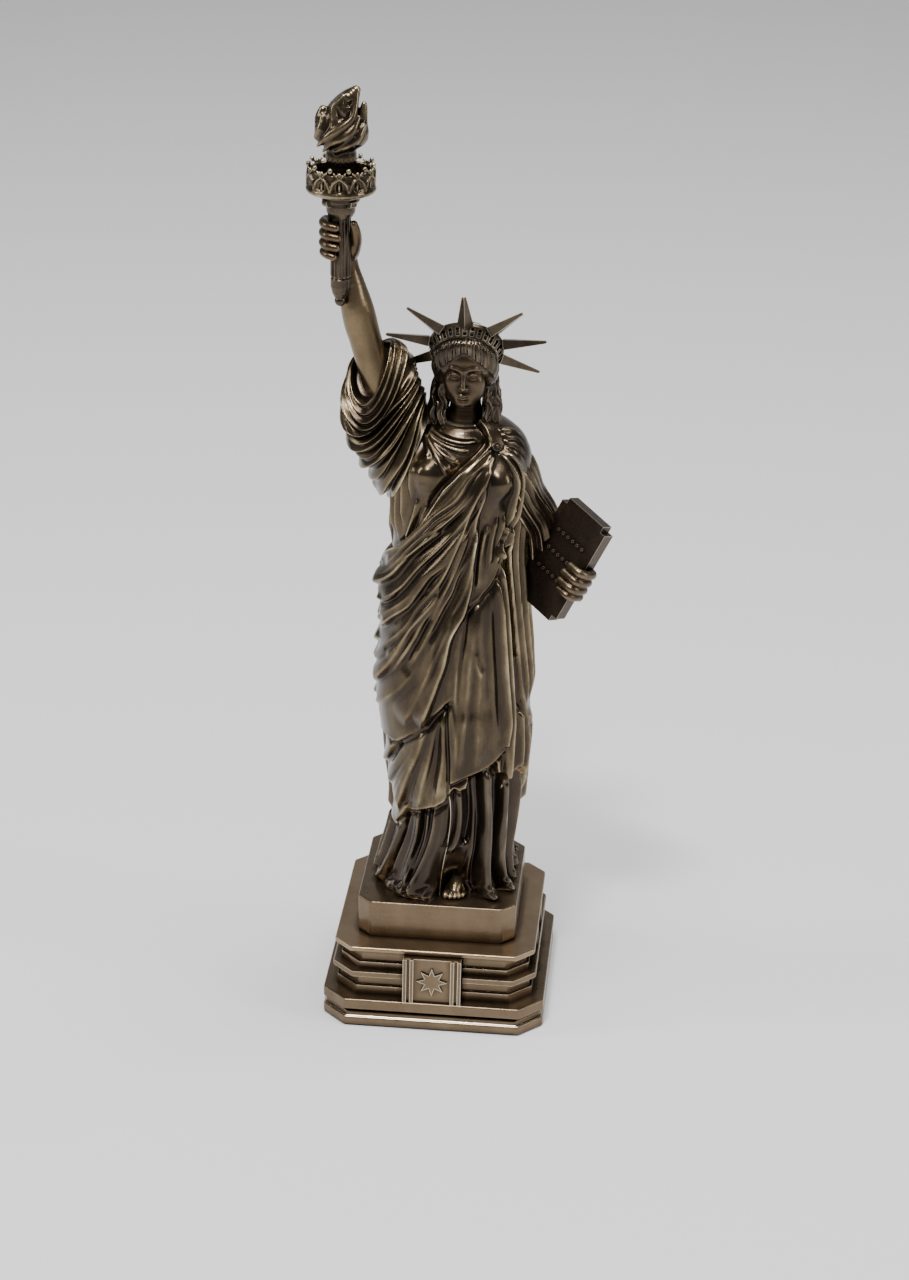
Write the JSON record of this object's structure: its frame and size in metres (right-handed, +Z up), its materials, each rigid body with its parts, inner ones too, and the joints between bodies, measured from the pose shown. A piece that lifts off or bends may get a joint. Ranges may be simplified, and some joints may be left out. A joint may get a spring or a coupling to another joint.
{
  "type": "miniature landmark model",
  "caption": "Robed torch-bearing statuette in antique bronze finish with rayed crown and tablet, on a stepped octagonal base with inset plaques.",
  "frame": {"origin": "centre of the felt pad's underside, where the base rests", "axes": "+Z up along the figure, -Y towards the front that the figure faces, +X towards the figure's left hand, which holds the tablet"},
  "size_m": [0.0935, 0.07, 0.295],
  "materials": {
    "base_bronze": "satin antique bronze over cast resin, brushed, with bright rubbed edges",
    "robe_bronze": "glossy antique bronze, dark in the folds and dry-brushed gold on the ridges",
    "skin_bronze": "smooth polished antique bronze with brown shading",
    "tablet_bronze": "very dark brown bronze face with rubbed grey-beige edges",
    "felt": "dark green self-adhesive felt",
    "zinc_hardware": "bright zinc plated",
    "steel_dowel": "plain drawn steel"
  },
  "bodies": {
    "root": {"felt_pad": "felt", "base_foot": "base_bronze", "base_slab": "base_bronze", "lower_die": "base_bronze", "base_ledge": "base_bronze", "upper_die": "base_bronze", "base_cap": "base_bronze", "figure_block": "base_bronze", "plaque_front": "base_bronze", "plaque_right": "base_bronze", "plaque_back": "base_bronze", "plaque_left": "base_bronze", "emblem": "base_bronze", "hold_down_rod": "zinc_hardware", "washer": "zinc_hardware", "nut": "zinc_hardware", "robe_skirt": "robe_bronze", "robe_mantle": "robe_bronze", "robe_bodice": "robe_bronze", "body_dowel": "steel_dowel", "right_sleeve": "robe_bronze", "right_arm": "skin_bronze", "sleeve_dowel": "steel_dowel", "torch_handle": "robe_bronze", "torch_gallery": "robe_bronze", "torch_flame": "robe_bronze", "head": "skin_bronze", "head_dowel": "steel_dowel", "hair": "robe_bronze", "crown_band": "robe_bronze", "crown_ray_1": "robe_bronze", "crown_ray_2": "robe_bronze", "crown_ray_3": "robe_bronze", "crown_ray_4": "robe_bronze", "crown_ray_5": "robe_bronze", "crown_ray_6": "robe_bronze", "crown_ray_7": "robe_bronze", "left_mantle": "robe_bronze", "shoulder_dowel": "steel_dowel", "left_hand": "skin_bronze", "tablet": "tablet_bronze", "brooch": "robe_bronze", "left_foot": "skin_bronze", "right_foot": "skin_bronze", "broken_chain": "robe_bronze"}
  },
  "joints": []
}
